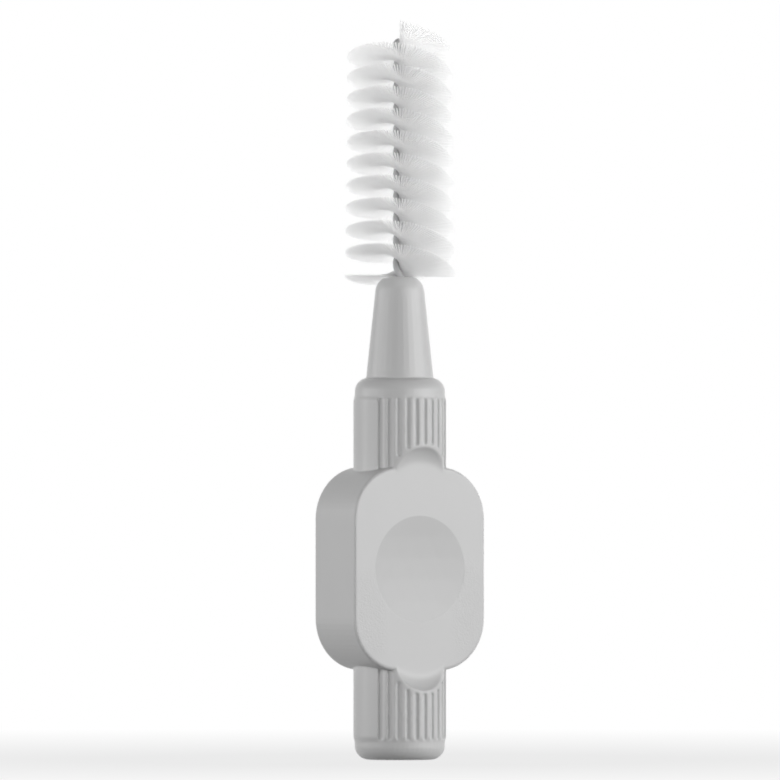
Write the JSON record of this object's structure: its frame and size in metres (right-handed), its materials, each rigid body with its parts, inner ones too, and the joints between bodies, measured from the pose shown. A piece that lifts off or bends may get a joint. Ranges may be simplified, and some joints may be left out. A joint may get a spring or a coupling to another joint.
{
  "type": "interdental brush",
  "caption": "Interdental brush with a flat grip plate between ribbed round barrels, a tapered neck and a twisted wire that carries a double spiral of bristles.",
  "frame": {"origin": "centre of the flat end face of the foot, on the axis of the barrels and the wire", "axes": "+Z along the wire toward the bristle tip, Y square to the flat faces of the grip, X across the grip's width"},
  "size_m": [0.0104, 0.0074, 0.0499],
  "materials": {
    "handle": "satin moulded plastic with a fine grain on the grip's faces",
    "steel": "drawn stainless wire",
    "coating": "smooth matt coating",
    "bristle": "white translucent nylon filament"
  },
  "bodies": {
    "root": {"handle": "handle", "steel_wire": "steel", "wire_coating": "coating", "bristle_fan_01": "bristle", "bristle_fan_02": "bristle", "bristle_fan_03": "bristle", "bristle_fan_04": "bristle", "bristle_fan_05": "bristle", "bristle_fan_06": "bristle", "bristle_fan_07": "bristle", "bristle_fan_08": "bristle", "bristle_fan_09": "bristle", "bristle_fan_10": "bristle", "bristle_fan_11": "bristle"}
  },
  "joints": []
}
